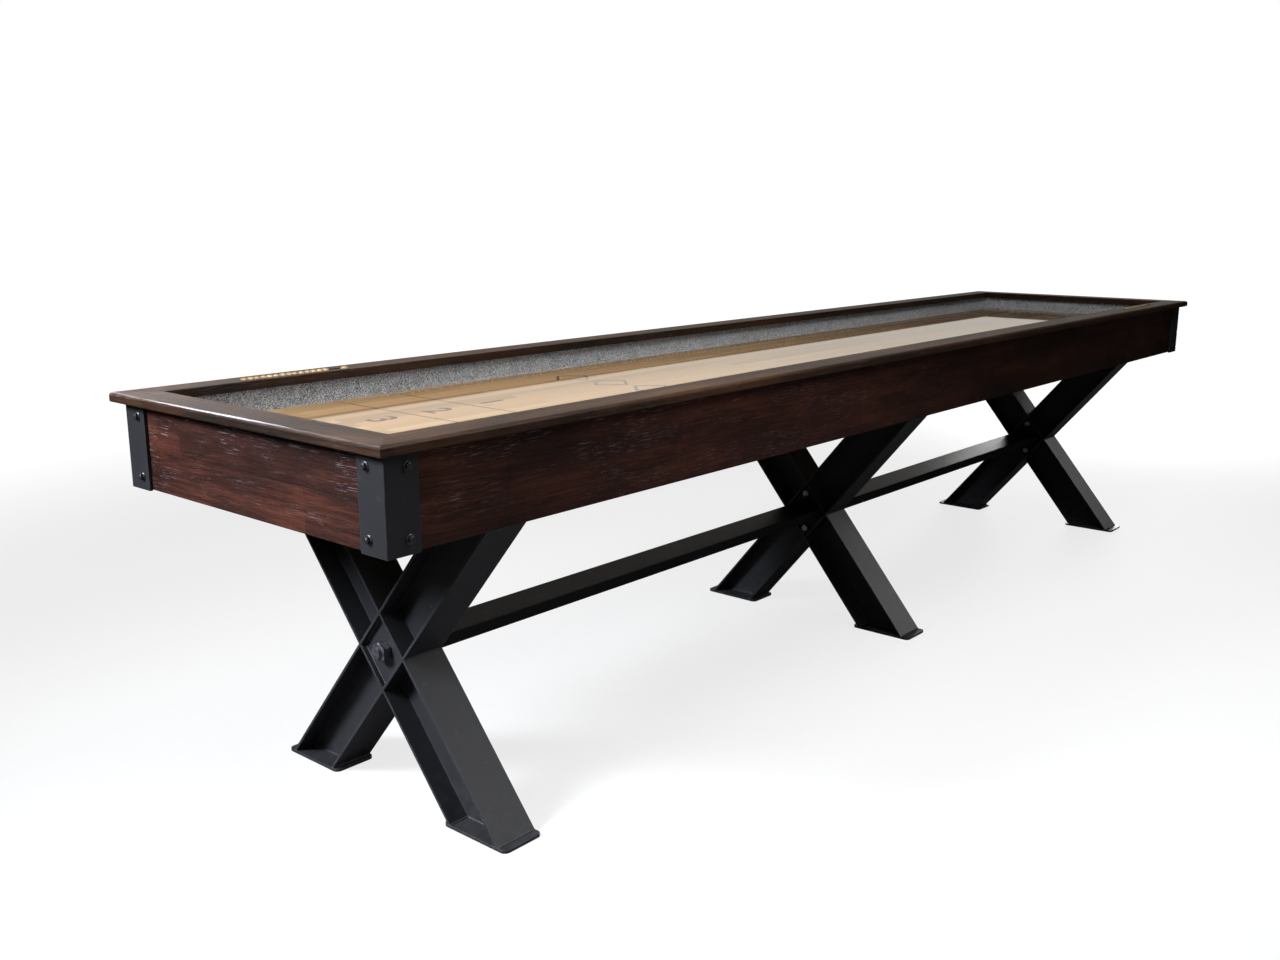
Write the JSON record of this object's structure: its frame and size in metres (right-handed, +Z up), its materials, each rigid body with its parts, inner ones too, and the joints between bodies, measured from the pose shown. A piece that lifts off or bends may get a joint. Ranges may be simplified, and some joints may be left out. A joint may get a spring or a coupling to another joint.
{
  "type": "shuffleboard table",
  "caption": "Long shuffleboard table with a wooden playfield in a carpet-lined cabinet, bead score counters, steel corner brackets and X-shaped steel legs.",
  "frame": {"origin": "on the floor under the middle of the table", "axes": "+X along the table towards the far end, +Y across it towards the rear side, +Z up"},
  "size_m": [3.658, 0.824, 0.815],
  "materials": {
    "espresso_wood": "dark espresso stain, wire-brushed and distressed, satin lacquer",
    "maple": "butcher-block strips under a thick polished clear coat",
    "grey_carpet": "heather grey short-pile carpet glued on a board",
    "plywood": "unfinished plywood, carpeted on the bed's top",
    "black_steel": "satin black powder coat",
    "plated_steel": "zinc plated",
    "bead_wood": "natural turned wood, lightly varnished"
  },
  "bodies": {
    "table": {"front_apron_near": "espresso_wood", "front_apron_far": "espresso_wood", "rear_apron_near": "espresso_wood", "rear_apron_far": "espresso_wood", "near_end_apron": "espresso_wood", "far_end_apron": "espresso_wood", "front_rail_near": "espresso_wood", "front_rail_far": "espresso_wood", "rear_rail_near": "espresso_wood", "rear_rail_far": "espresso_wood", "near_end_rail": "espresso_wood", "far_end_rail": "espresso_wood", "front_carpet_liner": "grey_carpet", "rear_carpet_liner": "grey_carpet", "near_end_carpet_liner": "grey_carpet", "far_end_carpet_liner": "grey_carpet", "bed_board_near": "plywood", "bed_board_far": "plywood", "cradle_board_near": "plywood", "cradle_board_middle": "plywood", "cradle_board_far": "plywood", "leg_cross_member_near": "plywood", "leg_cross_member_middle": "plywood", "leg_cross_member_far": "plywood", "adjuster_bar_1": "plated_steel", "adjuster_bar_2": "plated_steel", "adjuster_bar_3": "plated_steel", "adjuster_bar_4": "plated_steel", "near_leg_bolt_upper": "plated_steel", "near_leg_bolt_lower": "plated_steel", "middle_leg_bolt_upper": "plated_steel", "middle_leg_bolt_lower": "plated_steel", "middle_leg_nut_upper": "plated_steel", "middle_leg_nut_lower": "plated_steel", "far_leg_bolt_upper": "plated_steel", "far_leg_bolt_lower": "plated_steel", "rear_counter_rod": "plated_steel", "front_counter_rod": "plated_steel", "corner_bracket_near_front": "black_steel", "corner_bracket_near_rear": "black_steel", "corner_bracket_far_front": "black_steel", "corner_bracket_far_rear": "black_steel", "x_leg_near": "black_steel", "x_leg_middle": "black_steel", "x_leg_far": "black_steel", "stretcher_near": "black_steel", "stretcher_far": "black_steel", "stud_nut_near": "black_steel", "stud_nut_far": "black_steel", "playfield": "maple"},
    "adjuster_1": {"adjuster_screw_1": "plated_steel"},
    "adjuster_2": {"adjuster_screw_2": "plated_steel"},
    "adjuster_3": {"adjuster_screw_3": "plated_steel"},
    "adjuster_4": {"adjuster_screw_4": "plated_steel"},
    "rear_row": {"rear_bead_row": "bead_wood"},
    "rear_next": {"rear_next_bead": "bead_wood"},
    "rear_scored": {"rear_scored_bead": "bead_wood"},
    "front_row": {"front_bead_row": "bead_wood"},
    "front_next": {"front_next_bead": "bead_wood"},
    "front_scored": {"front_scored_bead": "bead_wood"}
  },
  "joints": [
    {"name": "adjuster_1_turn", "type": "hinge", "parent": "table", "child": "adjuster_1", "pos_m": [-1, 0, 0.7097], "axis": [0, 0, 1], "range_deg": [-180, 180]},
    {"name": "adjuster_2_turn", "type": "hinge", "parent": "table", "child": "adjuster_2", "pos_m": [-0.45, 0, 0.7097], "axis": [0, 0, 1], "range_deg": [-180, 180]},
    {"name": "adjuster_3_turn", "type": "hinge", "parent": "table", "child": "adjuster_3", "pos_m": [0.45, 0, 0.7097], "axis": [0, 0, 1], "range_deg": [-180, 180]},
    {"name": "adjuster_4_turn", "type": "hinge", "parent": "table", "child": "adjuster_4", "pos_m": [1, 0, 0.7097], "axis": [0, 0, 1], "range_deg": [-180, 180]},
    {"name": "rear_bead_row_slide", "type": "slide", "parent": "table", "child": "rear_row", "axis": [1, 0, 0], "range_m": [0, 0.017]},
    {"name": "rear_next_bead_slide", "type": "slide", "parent": "rear_row", "child": "rear_next", "axis": [1, 0, 0], "range_m": [0, 0.0151]},
    {"name": "rear_scored_bead_slide", "type": "slide", "parent": "table", "child": "rear_scored", "axis": [1, 0, 0], "range_m": [-0.032, 0]},
    {"name": "front_bead_row_slide", "type": "slide", "parent": "table", "child": "front_row", "axis": [1, 0, 0], "range_m": [0, 0.017]},
    {"name": "front_next_bead_slide", "type": "slide", "parent": "front_row", "child": "front_next", "axis": [1, 0, 0], "range_m": [0, 0.0151]},
    {"name": "front_scored_bead_slide", "type": "slide", "parent": "table", "child": "front_scored", "axis": [1, 0, 0], "range_m": [-0.032, 0]}
  ]
}
